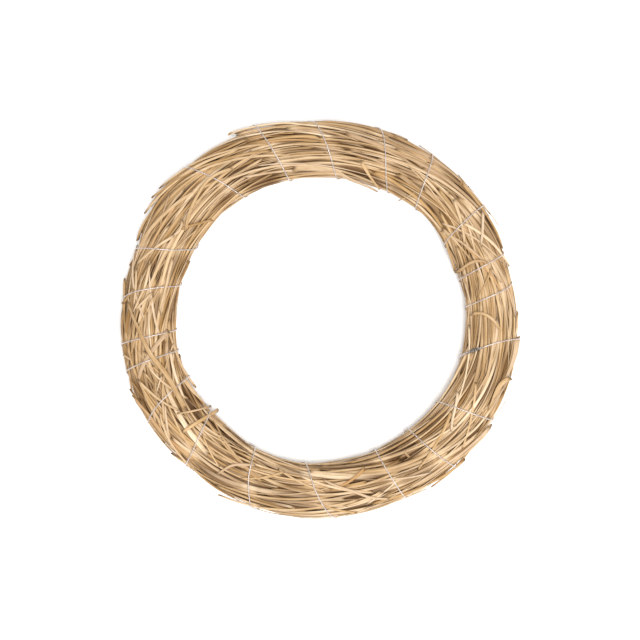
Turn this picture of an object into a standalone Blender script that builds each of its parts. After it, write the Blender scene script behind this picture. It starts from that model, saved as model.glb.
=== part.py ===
"""A straw wreath frame, 300 mm across, lying on its back with +Z up and its top edge towards +Y.

Handfuls of dried straw are laid round a wire hoop, head over tail, and one long wire binds them.
The wire winds clockwise, crosses the front once for each handful, and its two ends are twisted together.
"""

import math

import bmesh
import bpy
from mathutils import Vector

# Driving dimensions, in metres
OUTER_DIAMETER = 0.300
BUNDLE_WIDTH = 0.043
BUNDLE_HEIGHT = 0.034
PRESSED_FLAT = 0.0025  # how much of the round underside is pressed flat
HOOP_WIRE_DIAMETER = 0.003
BINDING_WIRE_DIAMETER = 0.0007
WIRE_SINK = 0.0001  # how far the binding wire's middle lies below the straw's crests
STRAW_DIAMETER = 0.0024
FLUTE_DEPTH = 0.0012
CLEARANCE = 0.0003  # between pieces that touch
STRAW_LIFT = 0.0004  # between a loose straw and the bundle under it

# How much wider than BUNDLE_WIDTH the bundle is at 12, 1, 2 ... 11 o'clock
WIDTH_SWELL = [
    0.0, -0.001, -0.002, -0.0035, -0.0015, 0.0005,
    -0.001, 0.002, 0.001, -0.0015, 0.002, 0.0025,
]

# Clock angles, in degrees, where each turn of wire crosses the front: at the outer edge, then the inner
FRONT_CROSSINGS = [
    (120, 125), (137, 141), (154, 157), (175, 186), (199, 207), (222, 231), (239, 247),
    (255, 258), (263, 266), (275, 284), (291, 300), (317, 329), (341, 348), (357, 367),
    (377, 388), (394, 401), (415, 419), (430, 434), (439, 445), (455, 465),
]
FULL_TURN = 360
HOUR = 30

# Places round the bundle's section, in degrees from its outer edge over the front
OUTER_EDGE, INNER_EDGE = 0, 180
SPLICE_START, SPLICE_END = 115, 165  # where the wire's two ends are twisted together
SPLICE_RUN_OUT = 7  # the wire's way in and out of the twist
SPLICE_TURNS = 4

# How finely the round shapes are cut up
FLUTES = 10
HANDFUL_STEP = 8  # degrees of the ring
HANDFUL_MARGIN = 6
WIRE_POINTS_PER_TURN = 12
GROOVE_SIDES = 4
SPLICE_POINTS_PER_TURN = 6
SPLICE_POCKET_STEPS = 8
TUBE_ROUNDNESS = 1
CUTTER_ROUNDNESS = 0
MERGE_DISTANCE = 1e-6
HOOP_SEGMENTS = 48
HOOP_SIDES = 6
LAY_SLANT = 0.35  # degrees round the section that the straw turns for each degree of the ring

# Loose straws on the front: (clock angle, place round the section) at each point that they pass
LOOSE_STRAWS = [
    [(71, 158), (68.6, 121), (69.1, 105), (70.3, 86)],
    [(87.5, 140), (87.2, 120), (89.5, 92), (93, 78)],
    [(75.6, 78), (80, 102)],
    [(57.5, 38), (61, 52), (65.5, 76)],
    [(228.5, 96), (229.6, 120), (230.4, 152)],
    [(235, 108), (234, 130), (232.5, 158)],
    [(24.5, 160), (20, 136), (15.5, 112)],
    [(213, 60), (208.5, 78), (210, 98), (216, 112)],
    [(303.5, 104), (307.5, 126), (313, 136)],
    [(163, 128), (167.5, 100), (172.5, 84)],
]
LOOSE_STRAW_STEP = 0.005

STRAW_COLOURS = [(0.60, 0.40, 0.20), (0.66, 0.46, 0.25), (0.54, 0.36, 0.19)]
LOOSE_STRAW_COLOUR = (0.74, 0.55, 0.31)
WIRE_COLOUR = (0.72, 0.70, 0.68)
HOOP_COLOUR = (0.35, 0.34, 0.33)

# Sizes that follow from them
OUTER_RADIUS = OUTER_DIAMETER / 2
MIDDLE_RADIUS = OUTER_RADIUS - BUNDLE_WIDTH / 2
HALF_HEIGHT = (BUNDLE_HEIGHT + PRESSED_FLAT) / 2
MIDDLE_HEIGHT = BUNDLE_HEIGHT - HALF_HEIGHT
WIRE_RADIUS = BINDING_WIRE_DIAMETER / 2
GROOVE_RADIUS = (WIRE_RADIUS + CLEARANCE) / math.cos(math.pi / GROOVE_SIDES)
STRAND_OFFSET = WIRE_RADIUS + CLEARANCE / 2  # of each twisted strand from the twist's own axis


def clear_scene():
    for obj in list(bpy.data.objects):
        bpy.data.objects.remove(obj)


def new_collection(name):
    collection = bpy.data.collections.new(name)
    bpy.context.scene.collection.children.link(collection)
    return collection


def new_material(name, colour, roughness, metallic=0.0):
    material = bpy.data.materials.new(name)
    material.use_nodes = True
    shader = material.node_tree.nodes["Principled BSDF"]
    shader.inputs["Base Color"].default_value = (*colour, 1)
    shader.inputs["Roughness"].default_value = roughness
    shader.inputs["Metallic"].default_value = metallic
    return material


def ring_point(clock, reach, height):
    """The point at a clock angle, at a distance from the ring's axis and a height."""
    angle = math.radians(clock)
    return Vector((reach * math.sin(angle), reach * math.cos(angle), height))


def bundle_width(clock):
    """The width of the straw at a clock angle, eased between its values at the hours."""
    hour = (clock / HOUR) % len(WIDTH_SWELL)
    before = int(hour)
    ease = (1 - math.cos(math.pi * (hour - before))) / 2
    here, there = WIDTH_SWELL[before], WIDTH_SWELL[(before + 1) % len(WIDTH_SWELL)]
    return BUNDLE_WIDTH + here + (there - here) * ease


def bundle_point(clock, around, depth=0.0, lowest=0.0):
    """A point at a depth under the straw's crests, and no lower than a height."""
    half_width = bundle_width(clock) / 2
    turn = math.radians(around)
    reach = OUTER_RADIUS - half_width + (half_width - depth) * math.cos(turn)
    height = MIDDLE_HEIGHT + (HALF_HEIGHT - depth) * math.sin(turn)
    return ring_point(clock, reach, max(height, lowest))


def front_angle(turn):
    """The clock angle where a turn of wire crosses the middle of the front."""
    laps, index = divmod(turn, len(FRONT_CROSSINGS))
    return sum(FRONT_CROSSINGS[index]) / 2 + laps * FULL_TURN


def back_angle(turn):
    """The clock angle where the wire crosses the middle of the back, on its way to the next turn."""
    laps, index = divmod(turn, len(FRONT_CROSSINGS))
    inner = FRONT_CROSSINGS[index][1] + laps * FULL_TURN
    laps, index = divmod(turn + 1, len(FRONT_CROSSINGS))
    outer = FRONT_CROSSINGS[index][0] + laps * FULL_TURN
    return (inner + outer) / 2


def seam_angles(turn):
    """Where the seam before a handful meets the front and the back, half way between turns of wire."""
    on_front = (front_angle(turn - 1) + front_angle(turn)) / 2
    on_back = (back_angle(turn - 1) + back_angle(turn)) / 2
    return on_front, on_back


def seam_plane(turn):
    """A point on the seam before a handful, and the seam's normal, which points clockwise."""
    on_front, on_back = seam_angles(turn)
    top = ring_point(on_front, MIDDLE_RADIUS, BUNDLE_HEIGHT)
    bottom = ring_point(on_back, MIDDLE_RADIUS, 0)
    outwards = ring_point((on_front + on_back) / 2, 1, 0)
    normal = outwards.cross(bottom - top).normalized()
    clockwise = ring_point((on_front + on_back) / 2 + 90, 1, 0)
    if normal.dot(clockwise) < 0:
        normal.negate()
    return (top + bottom) / 2, normal


def cut_and_cap(mesh, point, normal):
    """Removes what lies on the normal's side of a plane, and closes the cut."""
    everything = mesh.verts[:] + mesh.edges[:] + mesh.faces[:]
    cut = bmesh.ops.bisect_plane(mesh, geom=everything, plane_co=point, plane_no=normal, clear_outer=True)
    rim = [item for item in cut["geom_cut"] if isinstance(item, bmesh.types.BMEdge)]
    bmesh.ops.contextual_create(mesh, geom=rim)


def add_cutter(obj, name, cutter):
    modifier = obj.modifiers.new(name, "BOOLEAN")
    modifier.operation = "DIFFERENCE"
    modifier.object = cutter


def make_handful(turn, collection, material):
    """One handful of straw: a fluted tube bent round the ring, between the seams before and after it."""
    head, tail = seam_angles(turn), seam_angles(turn + 1)
    start, end = min(head) - HANDFUL_MARGIN, max(tail) + HANDFUL_MARGIN
    steps = math.ceil((end - start) / HANDFUL_STEP)
    mesh = bmesh.new()
    bmesh.ops.create_cone(mesh, cap_ends=False, segments=2 * FLUTES, radius1=1, radius2=1, depth=1)
    lengthwise = [edge for edge in mesh.edges if edge.verts[0].co.z != edge.verts[1].co.z]
    bmesh.ops.subdivide_edges(mesh, edges=lengthwise, cuts=steps - 1)
    for vertex in mesh.verts:
        clock = start + (end - start) * (vertex.co.z + 0.5)
        side = math.degrees(math.atan2(vertex.co.y, vertex.co.x))
        in_groove = round(side / (FULL_TURN / (2 * FLUTES))) % 2
        around = side + LAY_SLANT * (clock - front_angle(turn))
        vertex.co = bundle_point(clock, around, FLUTE_DEPTH * in_groove)
    point, normal = seam_plane(turn)
    cut_and_cap(mesh, point + normal * CLEARANCE / 2, -normal)
    point, normal = seam_plane(turn + 1)
    cut_and_cap(mesh, point - normal * CLEARANCE / 2, normal)
    bmesh.ops.recalc_face_normals(mesh, faces=mesh.faces[:])
    name = f"straw_handful_{turn + 1:02d}"
    data = bpy.data.meshes.new(name)
    mesh.to_mesh(data)
    mesh.free()
    data.materials.append(material)
    handful = bpy.data.objects.new(name, data)
    collection.objects.link(handful)
    return handful


def make_tube(name, points, radius, roundness, collection, material=None):
    """A round wire or stalk along a line of points, as a curve with closed ends."""
    curve = bpy.data.curves.new(name, "CURVE")
    curve.dimensions = "3D"
    curve.bevel_depth = radius
    curve.bevel_resolution = roundness
    curve.use_fill_caps = True
    spline = curve.splines.new("POLY")
    spline.points.add(len(points) - 1)
    for target, point in zip(spline.points, points):
        target.co = (*point, 1)
    if material:
        curve.materials.append(material)
    tube = bpy.data.objects.new(name, curve)
    collection.objects.link(tube)
    return tube


def as_cutter(tube, collection):
    """The tube as a closed mesh that a Boolean can cut with. The curve itself is removed."""
    graph = bpy.context.evaluated_depsgraph_get()
    data = bpy.data.meshes.new_from_object(tube.evaluated_get(graph))
    mesh = bmesh.new()
    mesh.from_mesh(data)
    bmesh.ops.remove_doubles(mesh, verts=mesh.verts[:], dist=MERGE_DISTANCE)
    bmesh.ops.recalc_face_normals(mesh, faces=mesh.faces[:])
    mesh.to_mesh(data)
    mesh.free()
    cutter = bpy.data.objects.new(tube.name + "_mesh", data)
    cutter.matrix_world = tube.matrix_world
    collection.objects.link(cutter)
    bpy.data.objects.remove(tube)
    return hidden_from_render(cutter)


def hidden_from_render(obj):
    obj.hide_render = True
    obj.display_type = "WIRE"
    return obj


def wire_place(clock, around):
    """A point on the binding wire's line, sunk in the straw and clear of what the frame lies on."""
    return bundle_point(clock, around, WIRE_SINK, WIRE_RADIUS)


def crossing(turn, around):
    """The clock angle of the wire on the front of a turn, from its outer edge to its inner."""
    outer, inner = FRONT_CROSSINGS[turn]
    return outer + (inner - outer) * around / INNER_EDGE


def winding_line():
    """The wire's line from the twist, behind the ring, through every turn and back to the twist."""
    last = len(FRONT_CROSSINGS) - 1
    points = []
    inner = FRONT_CROSSINGS[last][1] - FULL_TURN
    step = FULL_TURN / WIRE_POINTS_PER_TURN
    for turn in range(last + 1):
        outer = FRONT_CROSSINGS[turn][0]
        around = SPLICE_END + SPLICE_RUN_OUT if turn == 0 else INNER_EDGE + step / 2
        while around < FULL_TURN:
            share = max(around - INNER_EDGE, 0) / (FULL_TURN - INNER_EDGE)
            points.append(wire_place(inner + (outer - inner) * share, around))
            around += step
        finish = SPLICE_START - SPLICE_RUN_OUT if turn == last else INNER_EDGE
        around = OUTER_EDGE
        while around < finish - step / 2:
            points.append(wire_place(crossing(turn, around), around))
            around += step
        points.append(wire_place(crossing(turn, finish), finish))
        inner = FRONT_CROSSINGS[turn][1]
    return points


def splice_axis(around):
    return wire_place(crossing(len(FRONT_CROSSINGS) - 1, around), around)


def twisted_strand(phase):
    """One strand of the twist, as a helix round the last turn's line."""
    points = []
    count = SPLICE_TURNS * SPLICE_POINTS_PER_TURN
    ahead = (splice_axis(SPLICE_END) - splice_axis(SPLICE_START)).normalized()
    side = ahead.cross(Vector((0, 0, 1))).normalized()
    for index in range(count + 1):
        around = SPLICE_START + (SPLICE_END - SPLICE_START) * index / count
        nearby = splice_axis(around + 1) - splice_axis(around - 1)
        raised = side.cross(nearby).normalized()
        angle = phase + 2 * math.pi * index / SPLICE_POINTS_PER_TURN
        offset = side * math.cos(angle) + raised * math.sin(angle)
        points.append(splice_axis(around) + offset * STRAND_OFFSET)
    return points


def binding_wire_line():
    """The whole wire: its first end in the twist, the winding, and its last end in the twist."""
    return twisted_strand(0) + winding_line() + twisted_strand(math.pi)


def splice_line():
    """The middle of the pocket that the twist lies in."""
    count = SPLICE_POCKET_STEPS
    start, end = SPLICE_START - SPLICE_RUN_OUT, SPLICE_END + SPLICE_RUN_OUT
    return [splice_axis(start + (end - start) * index / count) for index in range(count + 1)]


def make_ring(name, tube_radius, collection):
    """A torus that runs through the middle of the straw."""
    bpy.ops.mesh.primitive_torus_add(
        location=(0, 0, MIDDLE_HEIGHT),
        major_radius=MIDDLE_RADIUS,
        minor_radius=tube_radius,
        major_segments=HOOP_SEGMENTS,
        minor_segments=HOOP_SIDES,
    )
    return take_new_object(name, collection)


def take_new_object(name, collection):
    """Names the object that an operator has just added, and moves it to a collection."""
    obj = bpy.context.active_object
    obj.name = name
    for owner in list(obj.users_collection):
        owner.objects.unlink(obj)
    collection.objects.link(obj)
    obj.data.shade_smooth()
    return obj


def eased(places, share):
    """A place along a row of (clock angle, place round the section) pairs, on a smooth curve."""
    spans = len(places) - 1
    index = min(int(share * spans), spans - 1)
    t = share * spans - index
    before, after = places[max(index - 1, 0)], places[min(index + 2, spans)]
    nearby = [before, places[index], places[index + 1], after]
    weights = (
        (-t + 2 * t * t - t**3) / 2,
        (2 - 5 * t * t + 3 * t**3) / 2,
        (t + 4 * t * t - 3 * t**3) / 2,
        (t**3 - t * t) / 2,
    )
    return tuple(sum(weight * place[axis] for weight, place in zip(weights, nearby)) for axis in (0, 1))


def make_loose_straw(number, places, collection, material):
    """A stray stalk that lies on the front of the bundle, between two turns of wire."""
    lift = STRAW_DIAMETER / 2 + STRAW_LIFT
    ends = [bundle_point(*place, -lift) for place in places]
    length = sum((b - a).length for a, b in zip(ends, ends[1:]))
    count = math.ceil(length / LOOSE_STRAW_STEP)
    points = [bundle_point(*eased(places, index / count), -lift) for index in range(count + 1)]
    name = f"loose_straw_{number:02d}"
    return make_tube(name, points, STRAW_DIAMETER / 2, TUBE_ROUNDNESS, collection, material)


def main():
    clear_scene()
    wreath = new_collection("straw_wreath_frame")
    cutters = new_collection("cutters")

    straw = [new_material(f"straw_{n + 1}", colour, 0.7) for n, colour in enumerate(STRAW_COLOURS)]
    loose = new_material("loose_straw", LOOSE_STRAW_COLOUR, 0.65)
    galvanised = new_material("galvanised_wire", WIRE_COLOUR, 0.35, 1.0)
    black_steel = new_material("annealed_steel", HOOP_COLOUR, 0.45, 1.0)

    hoop = make_ring("core_hoop", HOOP_WIRE_DIAMETER / 2, wreath)
    hoop.data.materials.append(black_steel)
    make_tube("binding_wire", binding_wire_line(), WIRE_RADIUS, TUBE_ROUNDNESS, wreath, galvanised)

    tunnel = hidden_from_render(make_ring("hoop_tunnel", HOOP_WIRE_DIAMETER / 2 + CLEARANCE, cutters))
    groove = make_tube("wire_groove", winding_line(), GROOVE_RADIUS, CUTTER_ROUNDNESS, cutters)
    groove = as_cutter(groove, cutters)
    pocket_radius = STRAND_OFFSET + GROOVE_RADIUS
    pocket = make_tube("splice_pocket", splice_line(), pocket_radius, CUTTER_ROUNDNESS, cutters)
    pocket = as_cutter(pocket, cutters)

    for turn in range(len(FRONT_CROSSINGS)):
        handful = make_handful(turn, wreath, straw[turn % len(straw)])
        add_cutter(handful, "hoop_tunnel", tunnel)
        add_cutter(handful, "wire_groove", groove)
        add_cutter(handful, "splice_pocket", pocket)
    for number, places in enumerate(LOOSE_STRAWS, start=1):
        make_loose_straw(number, places, wreath, loose)


main()
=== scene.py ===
"""A straw wreath frame lying face up on a white table, seen from straight above.

Each handful of straw is laid as separate stalks, which are then packed tight under the binding wire: the
stalks of the whole ring are pushed apart, kept stiff and held in the frame's outline until they lie still.
Crossing and stray straws are laid on them, the wire is wound over all of these, and the last few straws lie
over the wire.

Places on the ring are given as a clock angle, clockwise from the top, and a place round the section, in
degrees from the ring's outer edge over the front (90) to the inner edge (180) and back underneath (270).
Lengths are in mm.
"""

import math

import bmesh
import bpy
import numpy as np
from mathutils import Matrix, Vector


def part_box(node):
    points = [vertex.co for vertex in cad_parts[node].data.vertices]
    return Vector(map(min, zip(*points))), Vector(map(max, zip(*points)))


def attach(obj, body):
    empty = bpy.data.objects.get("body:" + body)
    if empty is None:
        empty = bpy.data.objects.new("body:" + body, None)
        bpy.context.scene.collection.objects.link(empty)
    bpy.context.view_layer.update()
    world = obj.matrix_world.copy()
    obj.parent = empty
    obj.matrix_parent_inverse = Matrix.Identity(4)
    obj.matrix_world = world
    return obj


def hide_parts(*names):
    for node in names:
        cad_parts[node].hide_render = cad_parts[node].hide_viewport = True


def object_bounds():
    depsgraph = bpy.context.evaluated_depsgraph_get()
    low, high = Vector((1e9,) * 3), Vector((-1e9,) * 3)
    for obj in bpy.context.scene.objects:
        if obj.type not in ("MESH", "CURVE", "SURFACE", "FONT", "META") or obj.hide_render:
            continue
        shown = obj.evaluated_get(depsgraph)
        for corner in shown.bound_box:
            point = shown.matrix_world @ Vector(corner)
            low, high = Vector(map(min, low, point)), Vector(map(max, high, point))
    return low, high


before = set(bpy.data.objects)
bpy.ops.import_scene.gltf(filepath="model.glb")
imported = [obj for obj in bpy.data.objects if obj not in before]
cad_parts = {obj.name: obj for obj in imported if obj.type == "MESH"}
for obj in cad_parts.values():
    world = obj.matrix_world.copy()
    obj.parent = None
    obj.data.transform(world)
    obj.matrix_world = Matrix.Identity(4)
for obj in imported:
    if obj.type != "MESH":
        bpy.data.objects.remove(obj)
cad_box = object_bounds()

MM = 0.001
SEED = 11

# The wire's turns: clock angles where each crosses the front, at the outer edge and then the inner
FRONT_CROSSINGS = [
    (120, 125), (137, 141), (154, 157), (175, 186), (199, 207), (222, 231), (239, 247),
    (255, 258), (263, 266), (275, 284), (291, 300), (317, 329), (341, 348), (357, 367),
    (377, 388), (394, 401), (415, 419), (430, 434), (439, 445), (455, 465),
]
# How far each turn bows along the ring half way across the front, in degrees
FRONT_BOWS = [
    -0.7, 0.3, 0.2, 0.6, 1.3, -1.0, 0.3, 0.2, -0.2, 0.8,
    -1.5, 0.4, 0.3, 0.2, -0.4, -0.5, -1.3, -0.3, 0, -2.0,
]
TURNS = len(FRONT_CROSSINGS)
WIRE_RADIUS = 0.42
WIRE_STEP = 5  # degrees round the section
TAUT_DIRECTIONS = np.radians(np.arange(0, 360, 3))
HULL_SMOOTHING = 3  # times
STALK_GIVE = 0.9  # how much of a stalk's radius withstands the wire
# The two ends of the wire are twisted together on the last turn, between these places round the section
SPLICE_START, SPLICE_END = 112, 168
SPLICE_RUN_OUT = 6  # how far short of the twist each end leaves the winding, in degrees
SPLICE_TURNS = 6
SPLICE_SPREAD = 0.5  # of each strand from the twist's middle
SPLICE_LIFT = 0.3  # shares of that spread
KNOT_SPREAD = 0.9  # how much wider the twist is where it is knotted
KNOT_PLACE, KNOT_LENGTH = 0.3, 0.13  # shares of the twist's length
SPLICE_POINTS_PER_TURN = 10

# The packing's grid: one station each STATION_STEP degrees of the ring
STATION_STEP = 2
STATIONS = 360 // STATION_STEP

# Stalks
STALKS_PER_DEGREE = 3.25
STALK_LENGTH = (44, 90)  # degrees of the ring
STALK_RADIUS = (0.55, 1.7)
USUAL_STALK_RADIUS = 0.98
STALK_RADIUS_SPREAD = 0.27  # of its logarithm
FIBRE_RADIUS = (0.3, 0.5)
# How far out a stalk lies, as a share of the way to the edge. The square is drawn, to fill the bundle evenly.
FIBRE_LEVEL = 0.98
STALK_LEVEL_SQUARED, BUNCH_LEVEL_SQUARED = (0.30, 1.0), (0.02, 0.28)
# Thick bunches fill the middle, evenly round the ring
BUNCH_RADIUS = 2.6
BUNCHES = 56
BUNCH_LENGTH = (80, 100)
BUNCH_SHIFT = 4
# A stalk begins this far before its place in the handful, give or take the spread, in degrees
HEAD_LEAD, HEAD_SPREAD = 20, 9
# A stalk sways round the section, wavers in and out, and rises above or sinks below the bundle's outline.
# Each goes with a range of rates, in waves for 2 pi radians of the ring.
PHASES = (0, 6)
SWAY, SWAY_RATES = 5, (3, 6)
WAVER, WAVER_RATES = 0.03, (4, 9)
USUAL_RISE, RISE_SPREAD, RISE_RANGE = -0.35, 0.6, (-2.0, 0.5)
RISE_SWAY, RISE_RATES = (0.1, 0.9), (5, 12)
HIGHEST_SHARE, LOWEST_SHARE = 1.04, 0.1
USUAL_HALF_WIDTH = 25
# How deep an end is tucked in, as a share of the way to the edge, and how often. Below 0 it stands up.
END_TUCKS, END_CHANCES = (0.24, 0.05, -1), (0.6, 0.3, 0.1)
TUCK_LENGTH, STAND_LENGTH = 7, 4  # degrees
STAND = (0.3, 1.4)
PINCH_DEPTH = 1.5
PINCH_WIDTH = 2.6  # degrees
FLOOR_PINCH = 0.9

# How far the straw's lie turns from the ring's own line, clockwise and inwards, in degrees: near the outer
# edge of the front, along its middle and near its inner edge
LAY = [
    (0, 8, 5, 7), (12, 8, 1, 0), (22, 3, -1, -6), (32, -8, -10, -7), (42, -17, -17, 2),
    (52, -14, -13, 10), (62, -6, 4, 10), (74, -4, -2, 8), (88, -6, -8, 2), (102, 4, -1, 0),
    (116, 7, 3, -1), (132, 5, 2, 5), (148, 2, 3, 8), (162, -1, 11, 8), (176, 0, 2, 7),
    (190, -8, -5, 4), (204, -12, -2, 1), (220, -3, -5, -3), (232, -4, -10, 0), (248, 0, -4, 5),
    (262, 17, 11, 18), (280, 17, 12, 13), (294, 10, 3, 2), (310, 8, -3, -9), (326, 7, -4, -3),
    (340, 17, 5, 7), (350, 14, 9, 10), (360, 8, 5, 7),
]
# Where those three lie, from the inner edge to the outer, as shares of half the width
LAY_PLACES = (-0.65, 0, 0.65)
BACK_SHARE = 0.3  # how much of that turn the straw on the back has
# How disorderly the stalks lie, as the spread of their own slants in degrees
DISORDER = [
    (0, 4), (50, 5), (62, 8), (74, 9), (90, 6), (110, 5), (125, 7), (145, 8), (165, 8), (190, 7), (205, 9),
    (225, 11), (240, 10), (265, 11), (280, 9), (291, 5), (310, 4), (360, 4),
]

# How much paler the straw is than usual, by clock angle
TONE_DRIFT = [
    (0, -0.02), (15, -0.06), (45, -0.13), (75, -0.10), (105, -0.01), (135, 0.02), (165, 0.09), (195, 0.12),
    (225, 0.04), (255, -0.09), (285, -0.03), (315, 0), (345, -0.02), (360, -0.02),
]

# How far the straw's outer and inner edges lie outside the plain ring's
EDGE_DRIFT = [
    (0, 2, 0), (14, 3.5, -2.2), (30, 0.8, -1.5), (42, 1.2, 0.8), (58, 1.6, -1), (72, -2.2, -2),
    (84, -2, -0.8), (100, -1, -1.5), (120, 1.4, -0.4), (140, 0.8, -2.8), (155, 0.2, -2.2),
    (170, -1.4, -2.4), (185, 1.4, -1.2), (200, 0.3, 2.4), (212, 1.1, -1.5), (222, -0.6, -0.5),
    (238, 0.6, -1.1), (250, 2.2, 1.6), (270, 2, -1.2), (290, 0.2, -0.2), (302, 2.6, 1), (312, 3.4, 2.2),
    (326, 4.4, 1.2), (340, 3.2, -2.6), (350, 3, -0.5), (360, 2, 0),
]

CULM, BLADE, FIBRE, BUNCH = range(4)
STALK_KINDS, KIND_CHANCES = (CULM, BLADE, FIBRE), (0.54, 0.38, 0.08)

# Stalks whose ends stand out of the bundle: (clock angle, place round the section, share of the way to the
# edge) at each point that they pass, the radius and the kind
STANDING_ENDS = [
    ([(333.4, 10, 1.07), (337, 13, 1.05), (342, 20, 1.01), (348, 28, 0.98), (378, 66, 0.95)], 1.2, CULM),
    ([(334.6, 26, 1.03), (338, 28, 1.01), (345, 36, 0.98), (372, 70, 0.95)], 1.1, CULM),
    ([(335.6, 1, 1.02), (340, 3, 1.0), (347, 10, 0.97), (380, 40, 0.95)], 1.3, CULM),
    ([(304.5, 14, 1.20), (308, 22, 1.10), (312, 31, 1.03), (317, 42, 0.98), (345, 88, 0.95)], 0.95, CULM),
    ([(301, 10, 1.07), (305, 18, 1.04), (311, 31, 1.0), (335, 66, 0.95)], 1.2, CULM),
    ([(308.4, 8, 1.13), (311, 13, 1.08), (316, 23, 1.01), (323, 36, 0.97), (345, 66, 0.95)], 1.0, CULM),
    ([(303, 2, 1.03), (307, 8, 1.01), (314, 18, 0.98), (338, 50, 0.95)], 1.3, CULM),
    ([(285, 8, 0.96), (290, 12, 0.96), (300, 22, 0.95), (325, 50, 0.94)], 1.7, BLADE),
    ([(168, 62, 0.95), (190, 42, 0.96), (200, 31, 0.99), (206, 18, 1.0), (211, 9, 1.03)], 1.05, CULM),
    ([(166, 40, 0.95), (190, 22, 0.95), (203, 12, 0.97), (208, 4, 0.99)], 1.2, BLADE),
    ([(225, 36, 0.94), (243, 16, 0.96), (248, 8, 0.97), (251, 3, 0.98)], 1.2, CULM),
    ([(222, 46, 0.94), (241, 26, 0.96), (246, 19, 0.98), (249, 14, 0.99)], 1.3, CULM),
    ([(219, 20, 0.94), (240, 2, 0.96), (247, -2, 0.98)], 1.0, CULM),
    ([(121, 6, 1.0), (126, 12, 0.98), (150, 34, 0.95)], 1.6, BLADE),
    ([(121.5, 22, 0.99), (127, 27, 0.97), (152, 50, 0.95)], 1.3, CULM),
    ([(121, -6, 0.99), (128, -2, 0.97), (155, 12, 0.95)], 1.4, CULM),
    ([(133, 12, 1.0), (138, 16, 0.98), (164, 42, 0.95)], 1.3, CULM),
    ([(112, 25, 0.95), (140, 8, 0.98), (147, 2, 1.0)], 1.2, CULM),
    ([(87, 8, 0.995), (91, 12, 0.98), (120, 36, 0.95)], 1.1, CULM),
    ([(45, 26, 0.93), (62, 12, 0.95), (69, 6, 0.97)], 1.2, CULM),
    ([(45, 150, 0.95), (66, 166, 0.99), (71.5, 172, 1.02)], 1.3, CULM),
    ([(242, 176, 0.99), (247, 170, 0.98), (270, 150, 0.95)], 1.3, CULM),
    ([(-10, 140, 0.95), (13, 160, 0.98), (20, 166, 1.02), (24, 168, 1.05)], 1.8, BLADE),
    ([(-12, 36, 0.92), (10, 20, 0.94), (17, 12, 0.95), (22, 6, 0.97)], 1.6, BLADE),
    ([(-8, 20, 0.92), (14, 8, 0.94), (27, 2, 0.96)], 1.4, BLADE),
]

# Stray straws on the front: (clock angle, distance from the ring's axis) at each point that they pass, the
# radius and the kind. The first ten are the loose straws of the frame.
STRAYS = [
    ([(71, 107.8), (68.6, 119.8), (69.1, 125), (71.2, 131)], 1.15, CULM),
    ([(87.7, 112.6), (87, 119), (89.7, 128.3), (93.1, 132.6)], 1.2, CULM),
    ([(73.4, 132), (82, 117.8)], 0.8, CULM),
    ([(56.4, 145), (60, 139), (65, 131)], 1.15, CULM),
    ([(228.6, 102.5), (230.2, 118), (230.9, 131)], 1.3, CULM),
    ([(231.8, 104.6), (234, 114), (236.8, 126)], 0.9, CULM),
    ([(14.5, 121), (19, 112.5), (24.5, 107)], 0.8, BLADE),
    ([(204.0, 117.6), (208.5, 121), (211.7, 125.2), (213.6, 137)], 1.0, CULM),
    ([(303.2, 122.5), (308, 115.5), (313, 109)], 1.0, CULM),
    ([(159, 142), (164.6, 136.3), (168.5, 129.2), (179, 118)], 1.1, CULM),
    ([(237, 119), (246.5, 118.8), (251.8, 120.8), (258.8, 127.7), (267.2, 134), (275.3, 143)], 1.4, BLADE),
    ([(265.9, 112.6), (263.9, 116.3), (258.8, 127.7), (255, 136.6), (251.5, 141.5)], 1.3, BLADE),
    ([(117.5, 115), (123.2, 119.5), (127.7, 122.7), (130.4, 127)], 1.1, CULM),
    ([(221.0, 146), (231.4, 143), (240, 137)], 1.15, CULM),
    ([(214.3, 131.8), (225.9, 121)], 0.6, CULM),
    ([(33.4, 107.6), (36.6, 114.5), (36.7, 119)], 0.4, FIBRE),
    ([(258.1, 143.0), (260, 148.5)], 0.9, CULM),
    ([(305.9, 125.5), (303, 121.5), (297.6, 127.3), (293.7, 132.6)], 1.0, CULM),
    ([(300, 124), (293.7, 132.6), (290.2, 137.5), (286.7, 142.2)], 1.0, CULM),
    ([(279.4, 139.5), (274.7, 147)], 1.0, CULM),
    ([(279.3, 125), (273.1, 136.4)], 0.9, CULM),
    ([(292.3, 117.8), (281.7, 116.2), (272.9, 118.7)], 1.15, CULM),
    ([(278.1, 124.1), (272, 128.2)], 0.8, CULM),
    ([(288.5, 132), (280.4, 131.2), (272.5, 137.8)], 1.1, CULM),
    ([(285.6, 141.4), (279.9, 137.8), (274.9, 137.7)], 0.9, CULM),
    ([(250.8, 123.5), (245.9, 132.4)], 0.6, CULM),
    ([(251.5, 141.3), (245.3, 134.7), (237.3, 123.8)], 1.2, CULM),
    ([(258.5, 113.4), (247.1, 115.2), (240, 116)], 1.2, CULM),
    ([(247.1, 110.5), (240, 108), (233.4, 106)], 1.5, BLADE),
    ([(254.6, 127.9), (251.6, 124.6)], 0.9, CULM),
    ([(147, 121.5), (147.4, 114)], 0.8, BLADE),
    ([(95, 147.4), (99, 147.8), (104, 146), (111, 142.5)], 2.6, BLADE),
    ([(106.9, 147.0), (108.5, 141.6), (111, 140.4), (118, 141.2)], 1.4, BLADE),
    ([(48, 133), (57.5, 125), (62, 121)], 1.1, CULM),
    ([(303.7, 118.8), (308.2, 123.5), (313, 127.4), (317.8, 130.2), (321, 132.6), (325, 132), (330, 129)],
     1.2, CULM),
]
STRAYS_OVER_WIRE = {11, 16, 17, 22, 30, 35}
OVER_WIRE = 0.7  # how much higher a straw lies where it crosses the wire
BEDDED = 0.35  # how deep the others have settled
STRAY_STEP = 3
USUAL_REACH = 130
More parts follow.
